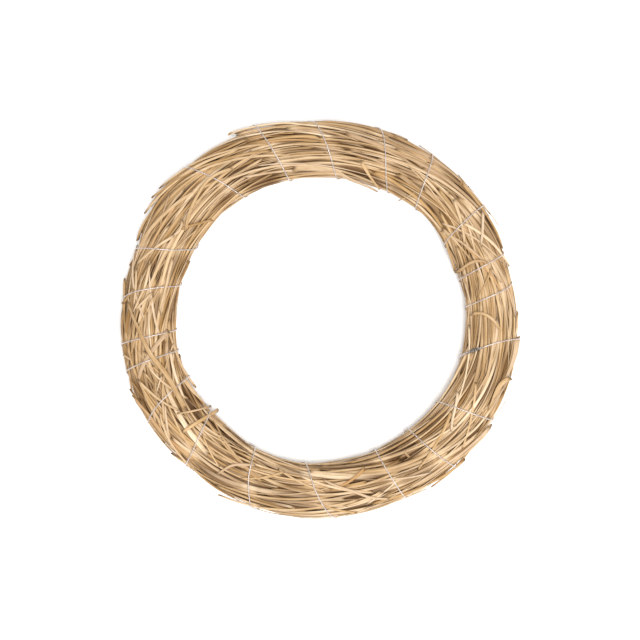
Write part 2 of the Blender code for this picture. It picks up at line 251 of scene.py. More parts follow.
# Short stalks across the others, more of them where the disorder is above ORDERLY
CROSSING_STRAWS = 22
ORDERLY, LEAST_CHANCE = 5, 0.05
CROSSING_PLACES = (-0.7, 0.7)  # shares of half the width
CROSSING_SLANT = (12, 30)  # degrees
CROSSING_HALF_LENGTH = (14, 30)
CROSSING_BOW = (-1.5, 1.5)
CROSSING_LIMIT = 0.9  # of half the width
CROSSING_RADIUS = (0.6, 1.15)
CROSSING_BEDDED = 0.9


def from_table(table, clock):
    """A value from (clock angle, value) pairs, with straight lines between them."""
    places, values = zip(*table)
    return np.interp(np.asarray(clock) % 360, places, values)


# ---------------------------------------------------------------- the ring's own shape

HANDFULS = sorted(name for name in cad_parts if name.startswith("straw_handful_"))
OUTER_RADIUS = (cad_box[1].x - cad_box[0].x) / 2 / MM
HEIGHT = max(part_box(name)[1].z for name in HANDFULS) / MM
PRESSED = 2.5  # how far the flat back cuts into the round section
HALF_HEIGHT = (HEIGHT + PRESSED) / 2
MIDDLE_HEIGHT = HEIGHT - HALF_HEIGHT
STATION_CLOCKS = np.arange(STATIONS) * STATION_STEP
EDGE_WINDOW = 9  # degrees each side of a station
EDGE_SMOOTHING = 3  # stations


def measured_inner_radius():
    """The inner radius of the CAD straw at each station, smoothed."""
    points = []
    for name in HANDFULS:
        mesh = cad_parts[name].data
        flat = np.empty(len(mesh.vertices) * 3)
        mesh.vertices.foreach_get("co", flat)
        points.append(flat.reshape(-1, 3) / MM)
    points = np.concatenate(points)
    clock = np.degrees(np.arctan2(points[:, 0], points[:, 1]))
    reach = np.hypot(points[:, 0], points[:, 1])
    apart = np.abs((clock[None] - STATION_CLOCKS[:, None] + 180) % 360 - 180)
    inner = np.where(apart < EDGE_WINDOW, reach[None], np.inf).min(1)
    offsets = np.arange(-2 * EDGE_SMOOTHING, 2 * EDGE_SMOOTHING + 1)
    weights = np.exp(-((offsets / EDGE_SMOOTHING) ** 2))
    return sum(w * np.roll(inner, o) for w, o in zip(weights, offsets)) / weights.sum()


DRIFT_PLACES, OUTER_DRIFT, INNER_DRIFT = zip(*EDGE_DRIFT)
OUTER_EDGE = OUTER_RADIUS + np.interp(STATION_CLOCKS, DRIFT_PLACES, OUTER_DRIFT)
INNER_EDGE = measured_inner_radius() + np.interp(STATION_CLOCKS, DRIFT_PLACES, INNER_DRIFT)
HALF_WIDTH = (OUTER_EDGE - INNER_EDGE) / 2
MIDDLE_RADIUS = (OUTER_EDGE + INNER_EDGE) / 2


def at_clock(values, clock):
    """A per-station array read at any clock angles."""
    place = np.asarray(clock, float) / STATION_STEP
    low = np.floor(place).astype(int)
    share = place - low
    return values[low % STATIONS] * (1 - share) + values[(low + 1) % STATIONS] * share


OUTER_CLOCKS = np.array([outer for outer, _ in FRONT_CROSSINGS], float)
INNER_CLOCKS = np.array([inner for _, inner in FRONT_CROSSINGS], float)
NEXT_OUTER_CLOCKS = np.append(OUTER_CLOCKS[1:], OUTER_CLOCKS[0] + 360)


def wire_clocks(around):
    """The clock angle of every turn of wire at a place round the section, one turn a column."""
    around = np.asarray(around, float)[..., None] % 360
    across = around / 360 + (1 - np.cos(np.radians(around))) / 4
    front = OUTER_CLOCKS + (INNER_CLOCKS - OUTER_CLOCKS) * across + FRONT_BOWS * np.sin(np.pi * across)
    back = INNER_CLOCKS + (NEXT_OUTER_CLOCKS - INNER_CLOCKS) * (around - 180) / 180
    return np.where(around <= 180, front, back)


def pinch(clock, around):
    """How near the wire a place is: 1 under it, down to 0 between turns."""
    apart = np.abs((np.asarray(clock)[..., None] - wire_clocks(around) + 180) % 360 - 180).min(-1)
    return np.exp(-((apart / PINCH_WIDTH) ** 2))


LUMP_WAVES, LUMP_SIZE = 26, 0.22
WAVES_ALONG, WAVES_ROUND = (4, 34), (0, 5)  # fewest, and one more than the most


def make_lumps(rng):
    """Slow bumps in the outline, as waves along the ring and round the section."""
    waves = []
    for _ in range(LUMP_WAVES):
        along, across = rng.integers(*WAVES_ALONG), rng.integers(*WAVES_ROUND)
        waves.append((along, across, rng.uniform(0, 2 * np.pi), rng.normal(0, LUMP_SIZE)))
    return waves


def lump_height(clock, around):
    clock, around = np.radians(clock), np.radians(around)
    return sum(size * np.sin(a * clock + b * around + phase) for a, b, phase, size in LUMPS)


rng = np.random.default_rng(SEED)
LUMPS = make_lumps(rng)


def section_place(clock, reach, height):
    """Place round the section in degrees, and how far out it is as a share of the way to the edge."""
    across = (reach - at_clock(MIDDLE_RADIUS, clock)) / at_clock(HALF_WIDTH, clock)
    up = (height - MIDDLE_HEIGHT) / HALF_HEIGHT
    return np.degrees(np.arctan2(up, across)) % 360, np.hypot(across, up)


def from_section(clock, around, share):
    """(reach, height) of a place round the section."""
    turn = np.radians(around)
    reach = at_clock(MIDDLE_RADIUS, clock) + at_clock(HALF_WIDTH, clock) * share * np.cos(turn)
    return reach, MIDDLE_HEIGHT + HALF_HEIGHT * share * np.sin(turn)


# ---------------------------------------------------------------- laying the stalks


LAY_BINS = 72
LEAST_STEEPNESS = 0.55  # of the section's side, so that the lie stays finite over the front and the back


def lay_rates():
    """How fast the straw's lie turns round the section, in degrees for each degree of the ring."""
    clocks, outer, middle, inner = zip(*LAY)
    columns = [np.interp(STATION_CLOCKS, clocks, column) for column in (inner, middle, outer)]
    around = (np.arange(LAY_BINS) + 0.5) * 360 / LAY_BINS
    across = np.cos(np.radians(around))
    slants = np.array([np.interp(across, LAY_PLACES, row) for row in zip(*columns)])
    slants = np.where(around < 180, slants, slants * BACK_SHARE)
    steepness = np.maximum(np.abs(np.sin(np.radians(around))), LEAST_STEEPNESS)
    return np.tan(np.radians(slants)) * (MIDDLE_RADIUS / HALF_WIDTH)[:, None] / steepness


LAY_RATES = lay_rates()


def follow_lay(around, first, count, own_rate):
    """A stalk's places round the section, from its middle both ways along the lie of the straw."""
    places = np.empty(count)
    start = count // 2
    places[start] = around
    backwards, onwards = range(start - 1, -1, -1), range(start + 1, count)
    for ahead, index in [(-1, i) for i in backwards] + [(1, i) for i in onwards]:
        here = places[index - ahead]
        rate = LAY_RATES[(first + index - ahead) % STATIONS, int(here % 360 / 360 * LAY_BINS) % LAY_BINS]
        places[index] = here + ahead * STATION_STEP * (rate + own_rate)
    return places


class Stalks:
    """Every stalk that follows the ring, as (reach, height) at each station it passes."""

    def __init__(self):
        self.first, self.paths, self.radius, self.handful, self.kind = [], [], [], [], []

    def add(self, first, reach, height, radius, handful, kind, rise, pinned=None):
        self.first.append(first)
        pinned = np.zeros(len(reach), bool) if pinned is None else pinned
        self.paths.append((reach, height, np.broadcast_to(rise, reach.shape), pinned))
        self.radius.append(radius)
        self.handful.append(handful)
        self.kind.append(kind)

    def pack_arrays(self):
        count = np.array([len(path[0]) for path in self.paths])
        most = count.max()
        self.count = count
        self.reach = np.zeros((len(count), most))
        self.height = np.zeros((len(count), most))
        self.rise = np.zeros((len(count), most))
        self.pinned = np.zeros((len(count), most), bool)
        for row, columns in enumerate(self.paths):
            for values, column in zip((self.reach, self.height, self.rise, self.pinned), columns):
                values[row, : len(column)] = column
        self.first = np.array(self.first)
        self.radius = np.array(self.radius)
        self.handful = np.array(self.handful)
        self.kind = np.array(self.kind)
        self.there = np.arange(most)[None] < count[:, None]
        self.station = (self.first[:, None] + np.arange(most)[None]) % STATIONS
        self.clock = (self.first[:, None] + np.arange(most)[None]) * STATION_STEP


def seam_clock(turn):
    before = FRONT_CROSSINGS[turn - 1] if turn else tuple(c - 360 for c in FRONT_CROSSINGS[-1])
    return (sum(before) + sum(FRONT_CROSSINGS[turn])) / 4


def nearest_turn(clock):
    middles = [(outer + inner) / 2 for outer, inner in FRONT_CROSSINGS]
    return int(np.argmin([abs((middle - clock + 180) % 360 - 180) for middle in middles]))


def lay_stalk(stalks, turn, head, length, radius, kind, level, rng):
    first = round(head / STATION_STEP)
    count = round(length / STATION_STEP) + 1
    clock = (first + np.arange(count)) * STATION_STEP
    middle = clock.mean()
    slant = math.radians(rng.normal(0, from_table(DISORDER, middle)))
    own_rate = math.tan(slant) * OUTER_RADIUS / USUAL_HALF_WIDTH
    sway = rng.normal(0, SWAY) * np.sin(
        np.radians(clock - middle) * rng.uniform(*SWAY_RATES) + rng.uniform(*PHASES)
    )
    around = follow_lay(rng.uniform(0, 360), first, count, own_rate) + sway
    share = level + rng.normal(0, WAVER) * np.sin(np.radians(clock) * rng.uniform(*WAVER_RATES))
    rise = 0 if kind == FIBRE else np.clip(rng.normal(USUAL_RISE, RISE_SPREAD), *RISE_RANGE)
    rise = rise + rng.uniform(*RISE_SWAY) * np.sin(
        np.radians(clock) * rng.uniform(*RISE_RATES) + rng.uniform(*PHASES)
    )
    for from_end in (clock - clock[0], clock[-1] - clock):
        tuck, stand = rng.choice(END_TUCKS, p=END_CHANCES), 0
        if tuck < 0:
            tuck, stand = 0, rng.uniform(*STAND)
        share = share - tuck * np.exp(-from_end / TUCK_LENGTH)
        rise = rise + stand * np.exp(-from_end / STAND_LENGTH)
    reach, height = from_section(clock, around, np.clip(share, LOWEST_SHARE, HIGHEST_SHARE))
    stalks.add(first, reach, height, radius, turn, kind, rise)


STANDS_OUT = 0.975  # the share of the way to the edge beyond which a standing end isn't packed
STANDING_RISE = 0.3


def lay_standing_end(stalks, places, radius, kind):
    """A stalk along given places. It stays where it stands out of the bundle."""
    first, last = math.ceil(places[0][0] / STATION_STEP), math.floor(places[-1][0] / STATION_STEP)
    clock = np.arange(first, last + 1) * STATION_STEP
    clocks, around, share = zip(*places)
    around, share = np.interp(clock, clocks, around), np.interp(clock, clocks, share)
    reach, height = from_section(clock, around, share)
    turn = nearest_turn(clock.mean())
    stalks.add(first, reach, height, radius, turn, kind, STANDING_RISE, share > STANDS_OUT)


def lay_all(rng):
    stalks = Stalks()
    for turn in range(TURNS):
        here = seam_clock(turn)
        beyond = seam_clock(turn + 1) if turn + 1 < TURNS else seam_clock(0) + 360
        for _ in range(round(STALKS_PER_DEGREE * (beyond - here))):
            head = rng.uniform(here, beyond) + rng.normal(0, HEAD_SPREAD) - HEAD_LEAD
            kind = rng.choice(STALK_KINDS, p=KIND_CHANCES)
            radius = USUAL_STALK_RADIUS * math.exp(rng.normal(0, STALK_RADIUS_SPREAD))
            radius = rng.uniform(*FIBRE_RADIUS) if kind == FIBRE else float(np.clip(radius, *STALK_RADIUS))
            level = FIBRE_LEVEL if kind == FIBRE else math.sqrt(rng.uniform(*STALK_LEVEL_SQUARED))
            lay_stalk(stalks, turn, head, rng.uniform(*STALK_LENGTH), radius, kind, level, rng)
    for index in range(BUNCHES):
        head = index * 360 / BUNCHES + rng.uniform(-BUNCH_SHIFT, BUNCH_SHIFT)
        level = math.sqrt(rng.uniform(*BUNCH_LEVEL_SQUARED))
        length = rng.uniform(*BUNCH_LENGTH)
        lay_stalk(stalks, nearest_turn(head), head, length, BUNCH_RADIUS, BUNCH, level, rng)
    for places, radius, kind in STANDING_ENDS:
        lay_standing_end(stalks, places, radius, kind)
    stalks.pack_arrays()
    return stalks


# ---------------------------------------------------------------- packing them

PACK_ROUNDS = 110
FIRST_SWELL = 1.22  # how much wider the outline is at first
SWELL_ROUNDS = 0.6  # the share of the rounds in which it shrinks back
PAIR_ROUNDS = 4  # how many rounds one search for near pairs serves
PAIR_SLACK = 0.8
PUSH = 0.7
STIFFNESS = 0.30
SPANS = (1, 2, 4)  # stations over which a stalk straightens
OWN_BEND, RING_BEND = 0.35, 0.65  # how much a stalk wants to be straight, and how much to follow the ring
HOOP_RADIUS = 1.5


def contact_table(stalks):
    """Which stalks pass each station, as flat places in the (stalk, station) arrays, padded with -1."""
    rows, columns = np.nonzero(stalks.there)
    flat = rows * stalks.there.shape[1] + columns
    station = stalks.station[rows, columns]
    order = np.argsort(station, kind="stable")
    flat, station = flat[order], station[order]
    starts = np.searchsorted(station, np.arange(STATIONS + 1))
    most = np.diff(starts).max()
    table = np.full((STATIONS, most), -1)
    for index in range(STATIONS):
        here = flat[starts[index] : starts[index + 1]]
        table[index, : len(here)] = here
    return table


def near_pairs(table, reach, height, radius, slack):
    """Flat indices of the pairs of stalks at one station that lie closer than touching plus slack."""
    left, right = np.triu_indices(table.shape[1], 1)
    first, second = [], []
    for rows in np.array_split(table, 12):
        a, b = rows[:, left], rows[:, right]
        apart = np.hypot(reach[a] - reach[b], height[a] - height[b])
        near = (a >= 0) & (b >= 0) & (apart < radius[a] + radius[b] + slack)
        first.append(a[near])
        second.append(b[near])
    return np.concatenate(first), np.concatenate(second)


def push_apart(pairs, reach, height, radius, strength):
    a, b = pairs
    across, up = reach[a] - reach[b], height[a] - height[b]
    apart = np.maximum(np.hypot(across, up), 1e-3)
    push = np.maximum(radius[a] + radius[b] - apart, 0) / apart * strength / 2
    size = len(reach)
    move_reach = np.bincount(a, across * push, size) - np.bincount(b, across * push, size)
    move_height = np.bincount(a, up * push, size) - np.bincount(b, up * push, size)
    return move_reach, move_height


def keep_straight(stalks, strength):
    """Bends each stalk back towards its own line, over short and long stretches."""
    for gap in SPANS:
        both = stalks.there[:, 2 * gap :]
        bow = math.cos(math.radians(gap * STATION_STEP)) * OWN_BEND + RING_BEND
        for values, factor in ((stalks.reach, bow), (stalks.height, 1)):
            error = values[:, gap:-gap] - (values[:, : -2 * gap] + values[:, 2 * gap :]) / 2 * factor
            error = np.where(both, error, 0) * strength
            values[:, gap:-gap] -= error
            values[:, : -2 * gap] += error / 2
            values[:, 2 * gap :] += error / 2


def hold_in(stalks, swell):
    around, share = section_place(stalks.clock, stalks.reach, stalks.height)
    near_wire = pinch(stalks.clock, around)
    radius = stalks.radius[:, None]
    edge = swell * HALF_HEIGHT + lump_height(stalks.clock, around) - PINCH_DEPTH * near_wire - radius
    edge = edge + stalks.rise
    shrink = np.minimum(1, edge / HALF_HEIGHT / np.maximum(share, 1e-6))
    middle = at_clock(MIDDLE_RADIUS, stalks.clock)
    stalks.reach[:] = middle + (stalks.reach - middle) * shrink
    stalks.height[:] = MIDDLE_HEIGHT + (stalks.height - MIDDLE_HEIGHT) * shrink
    below = (around > 180).astype(float)
    stalks.height[:] = np.maximum(stalks.height, radius + FLOOR_PINCH * near_wire * below)


def clear_hoop(stalks):
    across = stalks.reach - at_clock(MIDDLE_RADIUS, stalks.clock)
    up = stalks.height - MIDDLE_HEIGHT
    apart = np.maximum(np.hypot(across, up), 1e-3)
    push = np.maximum(HOOP_RADIUS + stalks.radius[:, None] - apart, 0) / apart
    stalks.reach += across * push
    stalks.height += up * push


def pack(stalks):
    table = contact_table(stalks)
    radius = np.repeat(stalks.radius, stalks.there.shape[1])
    pinned = stalks.pinned
    for turn in range(PACK_ROUNDS):
        done = turn / (PACK_ROUNDS - 1)
        swell = 1 + (FIRST_SWELL - 1) * max(0, 1 - done / SWELL_ROUNDS)
        reach, height = stalks.reach.ravel(), stalks.height.ravel()
        if turn % PAIR_ROUNDS == 0:
            pairs = near_pairs(table, reach, height, radius, PAIR_SLACK)
        move_reach, move_height = push_apart(pairs, reach, height, radius, PUSH)
        before = stalks.reach.copy(), stalks.height.copy()
        stalks.reach += move_reach.reshape(stalks.reach.shape)
        stalks.height += move_height.reshape(stalks.height.shape)
        keep_straight(stalks, STIFFNESS)
        clear_hoop(stalks)
        hold_in(stalks, swell)
        stalks.reach[pinned] = before[0][pinned]
        stalks.height[pinned] = before[1][pinned]


# ---------------------------------------------------------------- meshes of bent stalks


def ring_point(clock, reach, height):
    turn = np.radians(clock)
    return np.stack([reach * np.sin(turn), reach * np.cos(turn), np.broadcast_to(height, np.shape(turn))], -1)


def outward(clock, around):
    """The direction out of the bundle's surface."""
    turn = np.radians(around)
    across, up = np.cos(turn) / at_clock(HALF_WIDTH, clock), np.sin(turn) / HALF_HEIGHT
    return unit(ring_point(clock, across, up))


def unit(vectors):
    return vectors / np.maximum(np.linalg.norm(vectors, axis=-1, keepdims=True), 1e-9)


STALK_SIDES = 8
RIM, HOLLOW = 0.3, 0.25  # of the radius: the wall of a cut end, and how deep it is hollow
TEMPLATES = {}


def straight_stalk(steps):
    """A straight stalk of unit radius, one unit long for each step, with hollow cut ends. It is made once."""
    if steps in TEMPLATES:
        return TEMPLATES[steps]
    shape = bmesh.new()
    bmesh.ops.create_cone(shape, cap_ends=True, segments=STALK_SIDES, radius1=1, radius2=1, depth=1)
    lengthwise = [edge for edge in shape.edges if abs(edge.verts[0].co.z - edge.verts[1].co.z) > 0.5]
    bmesh.ops.subdivide_edges(shape, edges=lengthwise, cuts=steps - 1)
    for face in shape.faces:
        face.smooth = abs(face.normal.z) < 0.5
    for vertex in shape.verts:
        vertex.co.z = (vertex.co.z + 0.5) * steps
    ends = [face for face in shape.faces if not face.smooth]
    bmesh.ops.inset_individual(shape, faces=ends, thickness=RIM)
    for face in ends:
        bmesh.ops.translate(shape, verts=face.verts, vec=(0, 0, -face.normal.z * HOLLOW))
    mesh = bpy.data.meshes.new("straight_stalk")
    shape.to_mesh(mesh)
    shape.free()
    TEMPLATES[steps] = mesh
    return mesh


# Shares of a stalk's radius, by kind, and round for the others
WIDE = {CULM: (0.93, 1.12), BLADE: (1.1, 1.45)}
THICK = {CULM: (0.68, 0.92), BLADE: (0.42, 0.6)}
BLADE_CREASE, CREASE = (0.2, 0.9), (0, 0.25)  # how deep the fold along the front is
ROLL = 11  # degrees about its own line
BLADE_TWIST, TWIST = 14, 5  # degrees from the middle to an end
END_SLOPE = (-0.45, 0.45)  # of the cut
CULM_TAPER, TAPER = (0.55, 0.95), (0.15, 0.9)  # the size of the tip
TONE = (3.0, 2.5)  # of the beta distribution
SWELLING, SWELLINGS = 0.06, 9  # how much the size varies, and the radians of that along a stalk


def drawn(ranges, kind, rng):
    """A value from the range of one kind. Every range is drawn from, whatever the kind."""
    return {each: rng.uniform(*span) for each, span in ranges.items()}.get(kind, 1.0)


class Looks:
    """What one stalk looks like: the widths of its section, its crease, and its own colour."""

    def __init__(self, kind, radius, rng):
        self.wide = radius * drawn(WIDE, kind, rng)
        self.thick = radius * drawn(THICK, kind, rng)
        self.crease = {BLADE: rng.uniform(*BLADE_CREASE)}.get(kind, rng.uniform(*CREASE))
        self.roll = rng.normal(0, ROLL)
        self.twist = rng.normal(0, BLADE_TWIST if kind == BLADE else TWIST)
        self.slope = rng.uniform(*END_SLOPE)
        self.taper = rng.uniform(*(CULM_TAPER if kind == CULM else TAPER))
        self.tone = rng.beta(*TONE)
        self.hue = rng.uniform(0, 1)
        self.offset = rng.uniform(0, 1000)


def bend(flat, steps, centres, normals, looks):
    """Carries the points of a straight stalk onto its line. Returns them with the distance along it."""
    tangents = unit(np.gradient(centres, axis=0))
    thin = unit(normals - tangents * (normals * tangents).sum(-1, keepdims=True))
    wide = np.cross(thin, tangents)
    roll = np.radians(looks.roll + looks.twist * np.linspace(-1, 1, steps + 1))[:, None]
    wide, thin = wide * np.cos(roll) + thin * np.sin(roll), thin * np.cos(roll) - wide * np.sin(roll)
    share = np.linspace(0, 1, steps + 1)
    size = 1 - (1 - looks.taper) * share**2
    size = size * (1 + SWELLING * np.sin(share * SWELLINGS + looks.offset))
    along = flat[:, 2]
    near_end = (along < 0.5) | (along > steps - 0.5)
    along = along + np.where(near_end, flat[:, 0] * looks.slope, 0)
    low = np.clip(np.floor(along).astype(int), 0, steps - 1)
    part = (along - low)[:, None]

    def read(values):
        return values[low] * (1 - part) + values[low + 1] * part

    side, rise = flat[:, 0], flat[:, 1]
    rise = np.where(rise > 0, rise * (1 - looks.crease * (1 - np.abs(side))), rise)
    scale = read(size[:, None])
    offset = read(wide) * side[:, None] * looks.wide + read(thin) * rise[:, None] * looks.thick
    points = read(centres) + offset * scale
    length = np.append(0, np.cumsum(np.linalg.norm(np.diff(centres, axis=0), axis=1)))
    return points, read(length[:, None])[:, 0], length[-1]


def depth_inside(points):
    """How far under the bundle's surface each point lies, in mm. The straw finish paints shade between the
    stalks by it.
    """
    clock = np.degrees(np.arctan2(points[:, 0], points[:, 1]))
    around, share = section_place(clock, np.hypot(points[:, 0], points[:, 1]), points[:, 2])
    return (1 - share) * HALF_HEIGHT - PINCH_DEPTH * pinch(clock, around)


END_STAIN = 3  # how far from a cut end the stalk is stained


def stalks_mesh(name, lines):
    """One mesh of many bent stalks. Each line holds centres, normals and looks."""
    shape = bmesh.new()
    templates = [straight_stalk(len(centres) - 1) for centres, _, _ in lines]
    for template in templates:
        shape.from_mesh(template)
    mesh = bpy.data.meshes.new(name)
    shape.to_mesh(mesh)
    shape.free()
    flat = np.empty(len(mesh.vertices) * 3)
    mesh.vertices.foreach_get("co", flat)
    flat = flat.reshape(-1, 3)
    points, grain, look = np.empty_like(flat), np.empty_like(flat), np.empty_like(flat)
    begin = 0
    steps = [len(centres) - 1 for centres, _, _ in lines]
    for template, count, (centres, normals, looks) in zip(templates, steps, lines):
        end = begin + len(template.vertices)
        part = flat[begin:end]
        points[begin:end], along, length = bend(part, count, centres, normals, looks)
        grain[begin:end] = np.stack([along + looks.offset, part[:, 0], part[:, 1]], -1)
        from_end = np.minimum(along, length - along)
        # points inside a hollow cut end, darkened as painted shade
        hollow_end_shade = 1 - np.clip(np.hypot(part[:, 0], part[:, 1]) * 2 - 1, 0, 1)
        look[begin:end, 0], look[begin:end, 1] = looks.tone, looks.hue
        # the third look value: the stain near a cut end plus the painted shade inside the hollow end
        look[begin:end, 2] = np.exp(-np.maximum(from_end, 0) / END_STAIN) + hollow_end_shade
        begin = end
    mesh.vertices.foreach_set("co", (points * MM).ravel())
    for title, values in (("grain", grain), ("look", look)):
        attribute = mesh.attributes.new(title, "FLOAT_VECTOR", "POINT")
        attribute.data.foreach_set("vector", values.ravel())
    # depth under the surface, which sets the painted shade between the stalks
    mesh.attributes.new("depth", "FLOAT", "POINT").data.foreach_set("value", depth_inside(points))
    add_strip_map(mesh, flat, [len(template.polygons) for template in templates], steps)
    mesh.update()
    return mesh


END_CELL = 0.03  # of the map's length, at each end of a strip
STRIP_MARGIN = 0.06  # of a strip's width


def add_strip_map(mesh, flat, face_counts, steps):
    """A UV map that lays each stalk out as one strip, its ends in small cells beside it."""
    rows = len(face_counts)
    corner_vertex = np.empty(len(mesh.loops), int)
    mesh.loops.foreach_get("vertex_index", corner_vertex)
    sizes = np.empty(len(mesh.polygons), int)
    mesh.polygons.foreach_get("loop_total", sizes)
    face_row = np.repeat(np.arange(rows), face_counts)
    corner_face = np.repeat(np.arange(len(sizes)), sizes)
    row = face_row[corner_face]
    steps = np.array(steps)[row]
    side, rise, along = flat[corner_vertex].T
    smooth = np.empty(len(mesh.polygons), bool)
    mesh.polygons.foreach_get("use_smooth", smooth)
    on_side = smooth[corner_face]
    turn = np.arctan2(rise, side) / (2 * np.pi) % 1
    turn[turn > 0.999] = 0
    high = np.zeros(len(sizes))
    np.maximum.at(high, corner_face, turn)
    turn = np.where((high[corner_face] > 0.6) & (turn < 0.25), turn + 1, turn)
    across = np.where(on_side, turn, 0.5 + rise * 0.4)
    cell = np.where(along < steps / 2, 0.013, 0.987) + side * 0.01
    lengthwise = np.where(on_side, END_CELL + (1 - 2 * END_CELL) * along / steps, cell)
    layer = mesh.uv_layers.new(name="OFBake")
    places = np.stack([lengthwise, (row + STRIP_MARGIN + (1 - 2 * STRIP_MARGIN) * across) / rows], -1)
    layer.data.foreach_set("uv", places.ravel())


# ---------------------------------------------------------------- shader arithmetic


class Signal:
    """A shader socket that takes part in Python arithmetic."""

    def __init__(self, finish, socket):
        self.finish, self.socket = finish, socket

    def math(self, operation, first, second=0.0, clamp=False):
        return self.finish.node("Math", {"operation": operation, "use_clamp": clamp}, {0: first, 1: second})

    def __add__(self, other):
        return self.math("ADD", self, other)

    def __sub__(self, other):
        return self.math("SUBTRACT", self, other)

    def __rsub__(self, other):
        return self.math("SUBTRACT", other, self)

    def __mul__(self, other):
        return self.math("MULTIPLY", self, other)

    __radd__ = __add__

    def clamped(self):
        return self.math("ADD", self, 0.0, clamp=True)


class Finish:
    """A material being built. node() takes a node's type, its settings, and what its sockets get."""

    def __init__(self, name):
        self.material = bpy.data.materials.new(name)
        self.material.use_nodes = True
        self.tree = self.material.node_tree
        self.tree.nodes.clear()

    def node(self, kind, settings=None, sockets=None, output=0):
        made = self.tree.nodes.new("ShaderNode" + kind)
        for key, value in (settings or {}).items():
            if key == "stops":
                self.set_stops(made.color_ramp, value)
            else:
                setattr(made, key, value)
        for key, value in (sockets or {}).items():
            if isinstance(value, Signal):
                self.tree.links.new(value.socket, made.inputs[key])
            else:
                made.inputs[key].default_value = value
        return Signal(self, made.outputs[output])

    @staticmethod
    def set_stops(ramp, stops):
        while len(ramp.elements) < len(stops):
            ramp.elements.new(0.5)
        for element, (place, colour) in zip(ramp.elements, stops):
            element.position = place
            element.color = (*colour, 1)

    def attribute(self, name, output="Vector"):
        return self.node("Attribute", {"attribute_name": name}, output=output)

    def split(self, vector):
        return [self.node("SeparateXYZ", None, {0: vector}, output=axis) for axis in range(3)]

    def stretched(self, vector, scale):
        return self.node("VectorMath", {"operation": "MULTIPLY"}, {0: vector, 1: scale})

    def noise(self, vector, scale=1.0, detail=2.0, roughness=0.5):
        sockets = {"Vector": vector, "Scale": scale, "Detail": detail, "Roughness": roughness}
        return self.node("TexNoise", None, sockets)

    def mix(self, factor, first, second):
        """A colour mix. In a Mix node the colour sockets are the seventh and eighth."""
        first = first if isinstance(first, Signal) else (*first, 1)
        return self.node("Mix", {"data_type": "RGBA"}, {0: factor, 6: first, 7: (*second, 1)}, output=2)

    def surface(self, sockets):
        shader = self.node("BsdfPrincipled", None, sockets)
        output = self.tree.nodes.new("ShaderNodeOutputMaterial")
        self.tree.links.new(shader.socket, output.inputs["Surface"])
        return self.material


def straw_finish(name):
    """Dry straw: pale to golden brown, streaked along the stalk, stained at the cut ends, with painted shade
    in their hollows and between the stalks.
    """
    f = Finish(name)
    grain = f.attribute("grain")
    tone, hue, end = f.split(f.attribute("look"))
    streaks = f.noise(f.stretched(grain, (0.045, 3.2, 3.2)), detail=3, roughness=0.6)
    threads = f.noise(f.stretched(grain, (0.16, 9.0, 9.0)), detail=2)
    blotches = f.noise(f.stretched(grain, (0.05, 0.35, 0.35)), detail=3)
    specks = f.noise(f.stretched(grain, (0.9, 1.7, 1.7)), detail=1)
    shade = tone * 0.7 + 0.275 + (streaks - 0.5) * 1.1 + (blotches - 0.5) * 0.4 + (threads - 0.5) * 0.9
    body = f.node("ValToRGB", {"stops": [
        (0.0, (0.150, 0.062, 0.012)), (0.25, (0.315, 0.175, 0.064)), (0.5, (0.460, 0.300, 0.150)),
        (0.75, (0.620, 0.450, 0.278)), (1.0, (0.790, 0.645, 0.460)),
    ]}, {0: shade.clamped()})
    depth = f.attribute("depth", "Fac")
    for amount, most, tint in (
        ((hue - 0.62) * 3, 0.4, (0.50, 0.37, 0.27)),  # greyed stalks
        ((0.35 - hue) * 3, 0.35, (0.56, 0.33, 0.115)),  # golden stalks
        ((0.05 - hue) * 30, 0.45, (0.36, 0.16, 0.05)),  # a few reddish ones
        ((0.36 - specks) * 9, 0.45, (0.25, 0.145, 0.07)),
        # stain near the cut ends, plus painted shade inside the hollow ends
        (end * 0.5, 1.0, (0.30, 0.17, 0.07)),
        # painted shade: a warmer, darker brown just under the surface
        ((depth - 0.2) * 0.5, 0.4, (0.34, 0.185, 0.055)),  # just under the surface
        # painted shade: dark brown deep in the gaps between the stalks
        ((depth - 1.3) * 0.42, 0.85, (0.090, 0.033, 0.006)),  # deep between the stalks
    ):
        body = f.mix(amount.clamped() * most, body, tint)
    relief = streaks * 0.7 + threads * 0.5
    bump = f.node("Bump", None, {"Strength": 0.7, "Distance": 0.14 * MM, "Height": relief})
    rough = 0.44 + streaks * 0.30
    return f.surface({"Base Color": body, "Roughness": rough, "Normal": bump, "Specular IOR Level": 0.18})


def wire_finish(knot):
    """Galvanised wire, painted darker round the point knot as shade inside the twist of its two ends."""
    f = Finish("galvanised_wire")
    place = f.node("TexCoord", None, None, output="Object")
    bloom = f.noise(place, scale=900, detail=3)
    drawn_marks = f.noise(place, scale=4200, detail=1)
    colour = f.mix(((bloom - 0.42) * 4).clamped(), (0.46, 0.395, 0.36), (0.78, 0.70, 0.655))
    from_knot = f.node("VectorMath", {"operation": "DISTANCE"}, {0: place, 1: knot}, output="Value")
    # painted shade in the knot of the twisted ends
    colour = f.mix((1.3 - from_knot * 130).clamped() * 0.85, colour, (0.12, 0.115, 0.11))
    bump = f.node("Bump", None, {"Strength": 0.3, "Distance": 0.04 * MM, "Height": drawn_marks})
    rough = 0.34 + bloom * 0.25
    return f.surface({"Base Color": colour, "Metallic": 0.55, "Roughness": rough, "Normal": bump})


def hoop_finish():
    f = Finish("annealed_hoop_wire")
    place = f.node("TexCoord", None, None, output="Object")
    rust = f.noise(place, scale=260, detail=4)
    rusted = ((rust - 0.55) * 6).clamped()
    colour = f.mix(rusted, (0.21, 0.20, 0.195), (0.30, 0.15, 0.075))
    bump = f.node("Bump", None, {"Strength": 0.4, "Distance": 0.05 * MM, "Height": rust})
    metal, rough = 1 - rusted * 0.7, 0.38 + rust * 0.3
    return f.surface({"Base Color": colour, "Metallic": metal, "Roughness": rough, "Normal": bump})


# ---------------------------------------------------------------- the pieces


